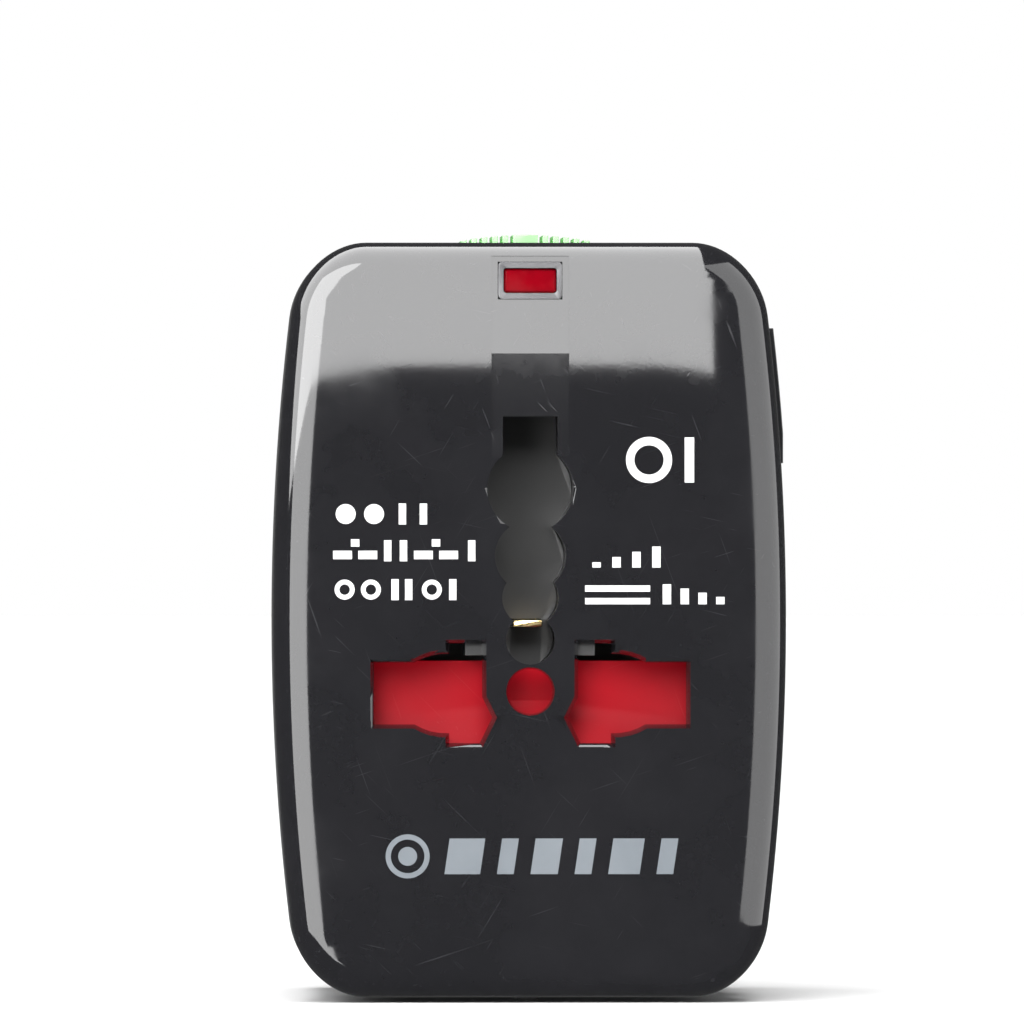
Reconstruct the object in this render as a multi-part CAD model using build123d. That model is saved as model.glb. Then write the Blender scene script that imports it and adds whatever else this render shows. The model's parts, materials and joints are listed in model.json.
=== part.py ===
"""Universal travel adapter with three slide-out plug sets, a shuttered multi-standard socket,
a power light, a surge board, a fuse drawer and a release button.

Frame: +Z up, socket face towards -Y, plug side towards +Y, +X to the right of someone who faces
the socket. The origin is at the bottom centre. All sizes are in millimetres.
"""
import os
from math import sqrt

from build123d import *

# ---------------------------------------------------------------- overall case
WIDTH = 49.0
HEIGHT = 72.0
FACE_Y = -27.0
REAR_Y = 27.0
SIDE_R = 245.0
CORNER_R = 7.0
WALL = 2.0
LUG_H = 0.5
LUG_W = 2.3
SEAM_Y = FACE_Y + 16.0
HOUSING_STEP = 1.0
FRONT_EDGE_R = 2.6
REAR_EDGE_R = 1.8
Z_MID = LUG_H + HEIGHT / 2
TOP_Z = LUG_H + HEIGHT
LIP_DEPTH = 1.5
LIP_WALL = 1.3
FIT = 0.05
CLEAR = 0.1
GAP = 0.3
CUT_BEYOND = 1.0

# ---------------------------------------------------------------- socket face
LINE_PITCH = 22.2
LINE_Z = Z_MID - 7.0
ARM_END_X = 14.87
ARM_HALF_H = 2.95
BLADE_OUT_X = 7.71
BLADE_IN_X = 4.58
BLADE_HALF_H = 4.74
SHOULDER_H = 3.8
NOTCH_X = 3.61
NOTCH_DROP = 2.3
CENTRE_HOLE_R = 2.14
EARTH_SLOT_HALF_W = 2.62
EARTH_TOP = 26.39
EARTH_STEPS = ((19.5, 4.13), (13.1, 3.40), (9.1, 2.69), (5.1, 2.35))
CHANNEL_HALF_W = 3.7
CHANNEL_DEPTH = 1.5
CHANNEL_LENGTH = 9.7
CHANNEL_MARGIN = 0.6
BEZEL_W = 6.06
BEZEL_H = 3.5
BEZEL_CORNER = 0.35
LENS_W = 5.0
LENS_H = 2.3
LENS_CORNER = 0.3
LENS_DROP = 0.4
LENS_BEVEL = 0.2
LIGHT_PAD = (5.2, 1.4)
LIGHT_Z = TOP_Z - 3.65

# ---------------------------------------------------------------- socket insides
SHUTTER_T = 2.0
SHUTTER_SETBACK = 5.2
SHUTTER_HALF_W = 15.7
SHUTTER_RAMP = 1.9
CHAMBER_MARGIN = 0.35
BASE_HALF_W = WIDTH / 2 - 7.0
HEAD_HALF_W = 6.2
LEDGE_HALF_W = 7.0
LEDGE_T = 2.0
CHAMBER_IN_X = 3.4
CONTACT_T = 0.6
FORK_X = (5.2, 14.6)
FORK_L = 11.0
TAIL_X = 12.6
TAIL_W = 2.0
TAIL_H = 2.0
LEAF_HALF_W = 1.4
LEAF_L = 10.0
LEAF_TAIL_H = 14.0
LEDGE_LEAN = (0.9, 1.1)

# ---------------------------------------------------------------- plug sets
TIP_SETBACK = 0.5
PLATE_T = 3.0
STOP_GAP = 0.1
UK_Z = Z_MID + 1.5
UK_EARTH_RISE = 22.23
UK_LINE_PIN = (6.35, 4.0, 17.7)
UK_EARTH_PIN = (4.0, 8.0, 22.7)
UK_SLEEVE_L = 9.5
UK_FINGER_Z = UK_Z + 7.0
UK_PLATE_HALF_W = 15.2
UK_PLATE_HALF_H = 3.0
UK_COLUMN = (5.2, 5.0)
UK_KNOB_Z = (Z_MID + 15.0, Z_MID + 28.0)
UK_KNOB_INSET = -1.0
PIN_CORNER = 0.6
PIN_TIP = 0.5
PIN_FLOOR = 0.6
SLEEVE_T = 0.45
ROOT_CUT = 0.5
ROOT_ROUND = 0.2
US_Z = Z_MID - 10.5
US_PITCH = 12.7
US_BLADE = (1.5, 6.35, 17.0)
US_PLATE_HALF_W = 11.0
US_PLATE_HALF_H = 4.6
US_KNOB_Z = (US_Z - 5.0, US_Z + 6.0)
US_KNOB_INSET = -0.2
US_WIPER_X = 5.0
BLADE_FLOOR = 0.4
BLADE_TIP = 0.4
BLADE_HOLE = (4.2, 1.5)
BLADE_TURN = 30.0
HUB_R = US_BLADE[1] / 2 + 0.425
HUB_FLANGE_R = HUB_R + 0.6
HUB_FLANGE_T = 0.8
EU_Z = Z_MID - 22.5
EU_PITCH = 19.0
EU_PIN_R = 2.0
EU_PIN_L = 19.0
EU_SLEEVE_L = 10.0
EU_PLATE_HALF_W = 13.0
EU_PLATE_HALF_H = 3.6
EU_KNOB_Z = (EU_Z - 5.5, EU_Z + 5.5)
EU_KNOB_INSET = -0.35
EU_WIPER_X = (8.5, 10.5)
EU_TIP_R = 1.6
OPENING_GAP = 0.25
KNOB_ROOT_X = WIDTH / 2 - WALL - 2.6
KNOB_REACH = (7.0, 1.2)
GROOVE_COUNT = 5
GROOVE_FIRST = 1.6
GROOVE_PITCH = 1.9
GROOVE_W = 0.7
GROOVE_END = 0.8
GROOVE_DEPTH = 0.3
NECK_H = 4.0
NECK_GAP = 0.3
PAD_GAP = 0.2
PAD_PROUD = 0.35
RAIL_X = 16.4
RAIL_T = 1.0
RAIL_END_GAP = 0.6
WIPER_GAP = 0.25
WIPER_T = 0.5
WIPER_HALF_H = 1.0

# ---------------------------------------------------------------- lock, fuse and fasteners
BUTTON_W = 12.4
BUTTON_GAP = 0.2
BUTTON_PLATEAU = 1.2
BUTTON_GROOVE_W = 0.45
BUTTON_RIBS = 5
BUTTON_Y = (-8.3, 2.7)
BUTTON_RISE = 1.0
BUTTON_TRAVEL = 1.2
BUTTON_CROWN_R = 33.6
RIB_PITCH = 1.0
BAR_T = 1.4
BAR_HALF_W = 3.6
FINGER_W = 2.4
FINGER_H = 2.0
FINGER_SHORT = 0.4
FUSE_X = -13.0
FUSE_Z = TOP_Z - 15.9
FUSE_R = 2.5
FUSE_L = 20.0
FUSE_CAP_L = 5.0
FUSE_CAP_T = 0.45
DRAWER_SIZE = 8.0
DRAWER_Y = (4.0, REAR_Y)
DRAWER_WALL = 1.2
DRAWER_GROOVE = (2.4, 0.7, 0.6)
FUSE_Y = DRAWER_Y[0] + DRAWER_WALL + 0.2
CLIP_W = 2.0
CLIP_L = 3.0
SCREW_X = WIDTH / 2 - 8.5
SCREW_INSET_Z = 6.8
BOSS_R = 3.0
SCREW_R = 1.1
SCREW_L = 16.0
SCREW_HEAD_R = 2.0
SCREW_HEAD_T = 1.4
SCREW_HEAD_EDGE = 0.5
SCREW_SLOT = (1.1, 0.2, 0.8)
SCREW_SEAT_Y = 0.0
SHUTTER_COIL = (1.2, 0.35, 8)
LOCK_COIL = (1.5, 0.4, 5)


# ---------------------------------------------------------------- layout along the depth
def carriage(side, knob_z, pin_length):
    """Where a plug set's plate lies when stowed, and how far it slides."""
    full_length = pin_length + WALL + STOP_GAP
    rear_y = REAR_Y - TIP_SETBACK - full_length
    return {
        "side": side,
        "knob_z": knob_z,
        "rear_y": rear_y,
        "front_y": rear_y - PLATE_T,
        "stroke": REAR_Y - WALL - STOP_GAP - rear_y,
    }


CARRIAGES = {
    "uk": carriage(1, Z_MID + 20.5, UK_EARTH_PIN[2]),
    "us": carriage(1, US_Z, US_BLADE[2]),
    "eu": carriage(1, EU_Z, EU_PIN_L),
}
BAR_Y = (CARRIAGES["uk"]["front_y"] - GAP - BAR_T, CARRIAGES["uk"]["front_y"] - GAP)
STRAP_Y = (CARRIAGES["uk"]["front_y"] - FIT - WIPER_T, CARRIAGES["uk"]["front_y"] - FIT)
BASE_REAR_Y = BAR_Y[0] - 0.4
CHAMBER_REAR_Y = BASE_REAR_Y - 3.6
SHUTTER_Y = FACE_Y + SHUTTER_SETBACK
BASE_FRONT_Y = SHUTTER_Y + SHUTTER_T + 0.4
HEAD_FRONT_Y = FACE_Y + WALL + CLEAR
SPINE_Y = (BASE_REAR_Y + CLEAR, BASE_REAR_Y + 0.9)
LEAF_TAIL_Y = (BASE_REAR_Y - 1.3, BASE_REAR_Y - 1.3 + CONTACT_T)
LUG_Y = (SEAM_Y - 2.5, SEAM_Y - CLEAR)
BEZEL_Y = (FACE_Y + 1.1, FACE_Y + WALL + 1.4)
LENS_Y = (BEZEL_Y[0] + LENS_DROP, BEZEL_Y[1] - 0.2)
BOARD_Y = (FACE_Y + 7.0, FACE_Y + 8.2)
LEAD_Y = BOARD_Y[0] - 0.6

# ---------------------------------------------------------------- layout along the height
CENTRE_HOLE_Z = LINE_Z + 0.2
BASE_BOTTOM_Z = 11.0
BASE_TOP_Z = LINE_Z + EARTH_TOP + 1.6
SHUTTER_TOP_Z = LINE_Z + 3.1
SHUTTER_NOTCH = (3.2, LINE_Z + 2.5)
SHUTTER_LOW_Z = LINE_Z - 5.4
CREASE_Z = LINE_Z - 2.4
LEDGE_Z = LINE_Z - 0.75
LEAF_Z = LINE_Z + 6.3
UK_PLATE_LOW_Z = UK_Z - UK_PLATE_HALF_H
US_PLATE_HIGH_Z = US_Z + US_PLATE_HALF_H
EU_PLATE_HIGH_Z = EU_Z + EU_PLATE_HALF_H
UK_RAIL_Z = UK_PLATE_LOW_Z - 0.8 - RAIL_T
US_RAIL_Z = US_PLATE_HIGH_Z + 0.6
EU_RAIL_Z = EU_PLATE_HIGH_Z + 0.8
BOARD_Z = (TOP_Z - 13.9, TOP_Z - 3.1)
CAP_LOW_Z = TOP_Z - HOUSING_STEP - WALL - 0.4
FLANGE_T = 1.2
FLANGE_OUT = 0.7
BAR_TOP_Z = CAP_LOW_Z - FLANGE_T
BAR_BOTTOM_Z = 9.0
FLOOR_Z = LUG_H + HOUSING_STEP + WALL

# ---------------------------------------------------------------- surge board's parts
BOARD_HALF_W = SCREW_X - BOSS_R - 0.5
LEAD_Z = BOARD_Z[0] + 3.4
LEAD_R = 0.3
LEAD_HOLE_R = 0.4
VARISTOR_X = 5.5 - BOARD_HALF_W
VARISTOR_RISE = 2.0
VARISTOR_R = 4.0
VARISTOR_T = 2.6
VARISTOR_EDGE = 0.8
VARISTOR_LEAD = 2.0
RESISTOR_X = BOARD_HALF_W - 4.5
RESISTOR_R = 1.1
RESISTOR_L = 4.2
RESISTOR_EDGE = 0.4
RESISTOR_LEAD = 3.0
RESISTOR_Y = BOARD_Y[1] + 1.5
LAMP_R = 1.2
LAMP_RIM_R = 1.5
LAMP_NOSE_R = 0.9


# ---------------------------------------------------------------- shape helpers
def block(x_span, y_span, z_span):
    """A box between two planes on each axis."""
    size = [b - a for a, b in (x_span, y_span, z_span)]
    middle = [(a + b) / 2 for a, b in (x_span, y_span, z_span)]
    return Pos(*middle) * Box(*size)


def slab(sketch, y_front, y_rear):
    """A sketch drawn in X and Z, made solid between two depths."""
    return Pos(0, y_rear, 0) * extrude(Plane.XZ * sketch, y_rear - y_front)


def rod(x, z, radius, y_front, y_rear):
    """A round bar along Y."""
    return slab(Pos(x, z) * Circle(radius), y_front, y_rear)


def rod_x(x_low, x_high, y, z, radius):
    """A round bar along X."""
    return Pos((x_low + x_high) / 2, y, z) * Rot(0, 90, 0) * Cylinder(radius, x_high - x_low)


def bar(x, z, width, height, y_front, y_rear, corner=0.0):
    """A rectangular bar along Y, with rounded long edges where a corner radius is given."""
    shape = RectangleRounded(width, height, corner) if corner else Rectangle(width, height)
    return slab(Pos(x, z) * shape, y_front, y_rear)


def half_width(z, inset=0.0):
    """Half the case's width at a height."""
    bow = SIDE_R - inset
    return WIDTH / 2 - inset - (bow - sqrt(bow ** 2 - (z - Z_MID) ** 2))


def outline(inset=0.0):
    """The case's outline: bowed sides, straight ends and round corners, moved in by inset."""
    half_h = HEIGHT / 2 - inset
    middle_w = WIDTH / 2 - inset
    end_w = half_width(Z_MID + half_h, inset)
    corners = [(end_w, -half_h), (end_w, half_h), (-end_w, half_h), (-end_w, -half_h)]
    edges = [
        ThreePointArc(corners[0], (middle_w, 0), corners[1]),
        Line(corners[1], corners[2]),
        ThreePointArc(corners[2], (-middle_w, 0), corners[3]),
        Line(corners[3], corners[0]),
    ]
    face = make_face(edges)
    return Pos(0, Z_MID) * fillet(face.vertices(), CORNER_R - inset)


def mirrored(sketch):
    """A sketch's copy on the other side of its own upright axis."""
    return mirror(sketch, about=Plane.YZ)


def coil(x, y, z_low, z_high, radius, wire, turns):
    """A compression spring that stands along Z."""
    height = z_high - z_low - wire
    path = Helix(pitch=height / turns, height=height, radius=radius)
    start = path @ 0
    profile = Plane(origin=start, z_dir=path % 0) * Circle(wire / 2)
    return Pos(x, y, z_low + wire / 2) * sweep(profile, path=path, is_frenet=True)


# ---------------------------------------------------------------- face apertures
def line_aperture():
    """The right-hand line aperture, drawn about the line pins' height."""
    edges = [
        Line((ARM_END_X, -ARM_HALF_H), (ARM_END_X, ARM_HALF_H)),
        Line((ARM_END_X, ARM_HALF_H), (11.0, ARM_HALF_H)),
        ThreePointArc((11.0, ARM_HALF_H), (9.46, 3.62), (BLADE_OUT_X, SHOULDER_H)),
        Line((BLADE_OUT_X, SHOULDER_H), (BLADE_OUT_X, BLADE_HALF_H)),
        Line((BLADE_OUT_X, BLADE_HALF_H), (BLADE_IN_X, BLADE_HALF_H)),
        Line((BLADE_IN_X, BLADE_HALF_H), (BLADE_IN_X, -0.33)),
        Line((BLADE_IN_X, -0.33), (NOTCH_X, -NOTCH_DROP)),
        Line((NOTCH_X, -NOTCH_DROP), (4.8, -BLADE_HALF_H)),
        Line((4.8, -BLADE_HALF_H), (BLADE_OUT_X, -BLADE_HALF_H)),
        Line((BLADE_OUT_X, -BLADE_HALF_H), (BLADE_OUT_X, -SHOULDER_H)),
        ThreePointArc((BLADE_OUT_X, -SHOULDER_H), (9.46, -3.62), (11.0, -ARM_HALF_H)),
        Line((11.0, -ARM_HALF_H), (ARM_END_X, -ARM_HALF_H)),
    ]
    return Pos(0, LINE_Z) * make_face(edges)


def earth_aperture(margin=0.0):
    """A slot that opens into four circles of falling size, grown by a margin."""
    slot_low, _ = EARTH_STEPS[0]
    slot_h = EARTH_TOP - slot_low
    shape = Pos(0, slot_low + slot_h / 2) * Rectangle(
        2 * (EARTH_SLOT_HALF_W + margin), slot_h + 2 * margin)
    for height, radius in EARTH_STEPS:
        shape += Pos(0, height) * Circle(radius + margin)
    return Pos(0, LINE_Z) * shape


# ---------------------------------------------------------------- case pieces
def screw_places():
    """The four screws' X and Z."""
    low = LUG_H + SCREW_INSET_Z
    high = TOP_Z - SCREW_INSET_Z
    return [(x, z) for x in (-SCREW_X, SCREW_X) for z in (low, high)]


def front_cover():
    """The gloss front shell with its apertures, light channel and screw bosses."""
    shell = slab(outline(), FACE_Y, SEAM_Y)
    shell = fillet(shell.faces().sort_by(Axis.Y)[0].edges(), FRONT_EDGE_R)
    shell -= slab(outline(WALL), FACE_Y + WALL, SEAM_Y)
    for x, z in screw_places():
        shell += rod(x, z, BOSS_R, FACE_Y + WALL, SEAM_Y)
        shell -= rod(x, z, SCREW_R + FIT, SCREW_SEAT_Y - SCREW_L - CUT_BEYOND, SEAM_Y)
    lug = block((-LUG_W / 2, LUG_W / 2), LUG_Y, (0, LUG_H + WALL / 2))
    shell += chamfer(lug.edges().filter_by(Axis.Y).group_by(Axis.Z)[0], LUG_H / 2)
    openings = line_aperture()
    cut = openings + mirrored(openings) + earth_aperture()
    cut += Pos(0, CENTRE_HOLE_Z) * Circle(CENTRE_HOLE_R)
    shell -= slab(cut, FACE_Y, FACE_Y + WALL)
    pad_w, pad_t = LIGHT_PAD
    pad_z = (LIGHT_Z + BEZEL_H / 2 - CHANNEL_LENGTH, TOP_Z - WALL)
    shell += block((-pad_w, pad_w), (FACE_Y + WALL, FACE_Y + WALL + pad_t), pad_z)
    shell -= light_channel()
    hole_size = (BEZEL_W + 2 * FIT, BEZEL_H + 2 * FIT)
    return shell - bar(0, LIGHT_Z, *hole_size, FACE_Y, BEZEL_Y[1] + CLEAR, BEZEL_CORNER + FIT)


def light_channel():
    """The wedge that sinks the face around the light and fades out below it."""
    high = LIGHT_Z + BEZEL_H / 2 + CHANNEL_MARGIN
    front_y = FACE_Y - CUT_BEYOND
    side = Plane.YZ * Polygon(
        (FACE_Y + CHANNEL_DEPTH, high), (FACE_Y, high - CHANNEL_LENGTH),
        (front_y, high - CHANNEL_LENGTH), (front_y, high), align=None)
    return extrude(side, CHANNEL_HALF_W, both=True)


def blade_opening():
    """The rear opening that lets one blade turn, drawn about the blade's own axis."""
    thick, wide, _ = US_BLADE
    shape = Sketch()
    steps = 3
    for step in range(steps + 1):
        turn = BLADE_TURN * step / steps
        shape += Rot(0, 0, turn) * Rectangle(thick + 2 * OPENING_GAP, wide + 2 * OPENING_GAP)
    return shape


def rear_openings():
    """Every plug pin's opening in the rear wall, and the fuse drawer's."""
    line_w, line_h, _ = UK_LINE_PIN
    earth_w, earth_h, _ = UK_EARTH_PIN
    slack = 2 * OPENING_GAP
    shape = Pos(0, UK_Z + UK_EARTH_RISE) * Rectangle(earth_w + slack, earth_h + slack)
    for side in (-1, 1):
        shape += Pos(side * LINE_PITCH / 2, UK_Z) * Rectangle(line_w + slack, line_h + slack)
        shape += Pos(side * EU_PITCH / 2, EU_Z) * Circle(EU_PIN_R + OPENING_GAP)
    shape += Pos(US_PITCH / 2, US_Z) * blade_opening()
    shape += Pos(-US_PITCH / 2, US_Z) * mirrored(blade_opening())
    shape += Pos(FUSE_X, FUSE_Z) * Rectangle(DRAWER_SIZE + slack, DRAWER_SIZE + slack)
    return shape


def side_slot(side, z, stowed_y, stroke, neck_l):
    """The slot in a side wall that a knob's neck slides along."""
    y_span = (stowed_y - NECK_GAP, min(stowed_y + neck_l + stroke + NECK_GAP, REAR_Y - WALL))
    x_span = sorted((side * KNOB_ROOT_X, side * WIDTH))
    return block(x_span, y_span, (z - NECK_H / 2 - NECK_GAP, z + NECK_H / 2 + NECK_GAP))


def rear_housing():
    """The rear shell: lip, plug openings, knob slots, button opening and screw bosses."""
    shell = slab(outline(HOUSING_STEP), SEAM_Y, REAR_Y)
    shell = fillet(shell.faces().sort_by(Axis.Y)[-1].edges(), REAR_EDGE_R)
    shell -= slab(outline(HOUSING_STEP + WALL), SEAM_Y, REAR_Y - WALL)
    lip = slab(outline(WALL + FIT), SEAM_Y - LIP_DEPTH, SEAM_Y + WALL)
    lip -= slab(outline(WALL + FIT + LIP_WALL), SEAM_Y - LIP_DEPTH, SEAM_Y + WALL)
    for x, z in screw_places():
        lip -= rod(x, z, BOSS_R + FIT, SEAM_Y - LIP_DEPTH, SEAM_Y)
    shell += lip
    for x, z in screw_places():
        shell += rod(x, z, BOSS_R, SEAM_Y, REAR_Y - WALL / 2)
        shell -= rod(x, z, SCREW_R + FIT, SEAM_Y - LIP_DEPTH, REAR_Y)
        shell -= rod(x, z, SCREW_HEAD_R + OPENING_GAP, SCREW_SEAT_Y, REAR_Y)
    shell -= slab(rear_openings(), REAR_Y - WALL, REAR_Y)
    for spec in CARRIAGES.values():
        shell -= side_slot(spec["side"], spec["knob_z"], spec["front_y"], spec["stroke"], PLATE_T)
    hole_x = BUTTON_W / 2 + BUTTON_GAP
    hole_y = (BUTTON_Y[0] - BUTTON_GAP, BUTTON_Y[1] + BUTTON_GAP)
    return shell - block((-hole_x, hole_x), hole_y, (BAR_TOP_Z, TOP_Z + CUT_BEYOND))


# ---------------------------------------------------------------- socket pieces
def socket_base():
    """The moulded insulator: two line chambers, the earth well and the shutter's ledge."""
    front_y = HEAD_FRONT_Y
    body = block((-BASE_HALF_W, BASE_HALF_W), (BASE_FRONT_Y, BASE_REAR_Y), (BASE_BOTTOM_Z, BASE_TOP_Z))
    head_z = (SHUTTER_TOP_Z + 0.5, BASE_TOP_Z)
    body += block((-HEAD_HALF_W, HEAD_HALF_W), (front_y, BASE_FRONT_Y), head_z)
    ledge_z = (BASE_BOTTOM_Z, BASE_BOTTOM_Z + LEDGE_T)
    body += block((-LEDGE_HALF_W, LEDGE_HALF_W), (front_y, BASE_FRONT_Y), ledge_z)
    chamber_h = BLADE_HALF_H + CHAMBER_MARGIN
    tail_h = TAIL_H / 2 + CLEAR
    for side in (-1, 1):
        x_span = sorted((side * CHAMBER_IN_X, side * (ARM_END_X + CHAMBER_MARGIN)))
        body -= block(x_span, (BASE_FRONT_Y, CHAMBER_REAR_Y), (LINE_Z - chamber_h, LINE_Z + chamber_h))
        tail_x = sorted((side * (TAIL_X - CLEAR), side * (TAIL_X + TAIL_W + CLEAR)))
        body -= block(tail_x, (CHAMBER_REAR_Y, BASE_REAR_Y), (LINE_Z - tail_h, LINE_Z + tail_h))
    body -= slab(earth_aperture(CHAMBER_MARGIN), front_y, CHAMBER_REAR_Y)
    slot_x = (-LEAF_HALF_W - CLEAR, LEAF_HALF_W + CLEAR)
    slot_z = (LEAF_Z - CLEAR, LEAF_Z + CONTACT_T + CLEAR)
    body -= block(slot_x, (CHAMBER_REAR_Y, BASE_REAR_Y), slot_z)
    tail_z = (LEAF_Z - CLEAR, LEAF_Z + LEAF_TAIL_H + CLEAR)
    return body - block(slot_x, (LEAF_TAIL_Y[0] - CLEAR, BASE_REAR_Y), tail_z)


def line_contact(side):
    """A brass fork that grips a line pin from above and below, with a tail to its bus bar."""
    rear_y = CHAMBER_REAR_Y - CLEAR
    front_y = rear_y - FORK_L
    x_span = sorted((side * FORK_X[0], side * FORK_X[1]))
    grip = UK_LINE_PIN[1] / 2 + CLEAR
    outer = grip + CONTACT_T
    fork = block(x_span, (rear_y - CONTACT_T, rear_y), (LINE_Z - outer, LINE_Z + outer))
    for up in (-1, 1):
        z_span = sorted((LINE_Z + up * grip, LINE_Z + up * outer))
        fork += block(x_span, (front_y, rear_y), z_span)
    tail_x = sorted((side * TAIL_X, side * (TAIL_X + TAIL_W)))
    tail_z = (LINE_Z - TAIL_H / 2, LINE_Z + TAIL_H / 2)
    return fork + block(tail_x, (rear_y - CONTACT_T, SPINE_Y[0]), tail_z)


def earth_contact():
    """A brass leaf in the earth well's floor, turned up behind the well's rear wall."""
    x_span = (-LEAF_HALF_W, LEAF_HALF_W)
    leaf_y = (CHAMBER_REAR_Y - LEAF_L, LEAF_TAIL_Y[1])
    leaf = block(x_span, leaf_y, (LEAF_Z, LEAF_Z + CONTACT_T))
    return leaf + block(x_span, LEAF_TAIL_Y, (LEAF_Z, LEAF_Z + LEAF_TAIL_H))


def bus_bar(side):
    """A brass comb: a spine behind the socket base and one rail for each plug set."""
    rail_x = sorted((side * RAIL_X, side * (RAIL_X + RAIL_T)))
    rails = [EU_RAIL_Z, US_RAIL_Z, UK_RAIL_Z]
    spine_x = sorted((side * TAIL_X, side * (RAIL_X + RAIL_T)))
    comb = block(spine_x, SPINE_Y, (rails[0], max(rails[-1] + RAIL_T, LINE_Z + TAIL_H / 2)))
    for z in rails:
        comb += block(rail_x, (SPINE_Y[0], REAR_Y - WALL - RAIL_END_GAP), (z, z + RAIL_T))
    return comb


def shutter():
    """The red shutter: an upright plate whose foot leans out as a ramp, with a ledge at the centre."""
    rear_y = SHUTTER_Y + SHUTTER_T
    toe_y = SHUTTER_Y - SHUTTER_RAMP
    side = Plane.YZ * Polygon(
        (SHUTTER_Y, SHUTTER_TOP_Z), (SHUTTER_Y, CREASE_Z), (toe_y, SHUTTER_LOW_Z),
        (rear_y, SHUTTER_LOW_Z), (rear_y, SHUTTER_TOP_Z), align=None)
    plate = extrude(side, SHUTTER_HALF_W, both=True)
    lean_y, lean_z = LEDGE_LEAN
    ledge = Plane.YZ * Polygon(
        (rear_y, LEDGE_Z), (SHUTTER_Y, LEDGE_Z), (SHUTTER_Y - lean_y, LEDGE_Z - lean_z),
        (toe_y, SHUTTER_LOW_Z), (rear_y, SHUTTER_LOW_Z), align=None)
    notch_w, notch_z = SHUTTER_NOTCH
    plate += extrude(ledge, notch_w - GAP, both=True)
    return plate - block((-notch_w, notch_w), (toe_y, rear_y), (notch_z, SHUTTER_TOP_Z))


# ---------------------------------------------------------------- light and surge board
def light_bezel():
    """The grey frame round the lens."""
    frame = bar(0, LIGHT_Z, BEZEL_W, BEZEL_H, *BEZEL_Y, BEZEL_CORNER)
    return frame - bar(0, LIGHT_Z, LENS_W + 2 * FIT, LENS_H + 2 * FIT, *BEZEL_Y, LENS_CORNER)


def light_lens():
    """The red lens, crowned a little at its front edge."""
    lens = bar(0, LIGHT_Z, LENS_W, LENS_H, *LENS_Y, LENS_CORNER)
    return chamfer(lens.faces().sort_by(Axis.Y)[0].edges(), LENS_BEVEL)


def surge_board():
    """The circuit board across the top, with holes for its parts' leads."""
    board = block((-BOARD_HALF_W, BOARD_HALF_W), BOARD_Y, BOARD_Z)
    for side in (-1, 1):
        for x in (VARISTOR_X + side * VARISTOR_LEAD, RESISTOR_X + side * RESISTOR_LEAD):
            board -= rod(x, LEAD_Z, LEAD_HOLE_R, *BOARD_Y)
    return board


def varistor():
    """The surge-clamping disc with its two leads."""
    front_y = BOARD_Y[1] + GAP
    disc = rod(VARISTOR_X, LEAD_Z + VARISTOR_RISE, VARISTOR_R, front_y, front_y + VARISTOR_T)
    disc = fillet(disc.edges(), VARISTOR_EDGE)
    for side in (-1, 1):
        disc += rod(VARISTOR_X + side * VARISTOR_LEAD, LEAD_Z, LEAD_R, LEAD_Y, front_y + VARISTOR_EDGE)
    return disc


def lamp_resistor():
    """An axial resistor bridging two holes."""
    body = rod_x(RESISTOR_X - RESISTOR_L / 2, RESISTOR_X + RESISTOR_L / 2, RESISTOR_Y, LEAD_Z, RESISTOR_R)
    body = fillet(body.edges(), RESISTOR_EDGE)
    body += rod_x(RESISTOR_X - RESISTOR_LEAD, RESISTOR_X + RESISTOR_LEAD, RESISTOR_Y, LEAD_Z, LEAD_R)
    for side in (-1, 1):
        body += rod(RESISTOR_X + side * RESISTOR_LEAD, LEAD_Z, LEAD_R, LEAD_Y, RESISTOR_Y + LEAD_R)
    return body


def indicator_lamp():
    """The round-nosed lamp behind the lens."""
    rear_y = BOARD_Y[0] - CLEAR
    glass = rod(0, LIGHT_Z, LAMP_R, BEZEL_Y[1] + GAP, rear_y)
    glass = fillet(glass.faces().sort_by(Axis.Y)[0].edges(), LAMP_NOSE_R)
    return glass + rod(0, LIGHT_Z, LAMP_RIM_R, rear_y - 1.0, rear_y)


# ---------------------------------------------------------------- plug sets
def finger(z, front_y):
    """The latch finger that reaches forward into the lock bar's window."""
    z_span = (z - FINGER_H / 2, z + FINGER_H / 2)
    return block((-FINGER_W / 2, FINGER_W / 2), (BAR_Y[0] + FINGER_SHORT, front_y), z_span)


def knob(spec, z_low, z_high, outer_inset):
    """A thumb knob: a neck through the side slot and a ribbed pad that follows the case's side."""
    side = spec["side"]
    z = spec["knob_z"]
    pad_y = (spec["front_y"] - KNOB_REACH[0], spec["rear_y"] + KNOB_REACH[1])
    pad = slab(outline(outer_inset), *pad_y) - slab(outline(HOUSING_STEP - PAD_GAP), *pad_y)
    x_span = sorted((side * WIDTH / 4, side * (WIDTH / 2 + PAD_PROUD)))
    pad &= block(x_span, pad_y, (z_low, z_high))
    for step in range(GROOVE_COUNT):
        y = pad_y[0] + GROOVE_FIRST + GROOVE_PITCH * step
        groove_y = (y, y + GROOVE_W)
        groove = slab(outline(outer_inset - CUT_BEYOND), *groove_y)
        groove -= slab(outline(outer_inset + GROOVE_DEPTH), *groove_y)
        pad -= groove & block(x_span, groove_y, (z_low + GROOVE_END, z_high - GROOVE_END))
    neck_x = sorted((side * KNOB_ROOT_X, side * (half_width(z, HOUSING_STEP) + PAD_GAP + GAP)))
    neck = block(neck_x, (spec["front_y"], spec["rear_y"]), (z - NECK_H / 2, z + NECK_H / 2))
    return pad + neck


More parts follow.
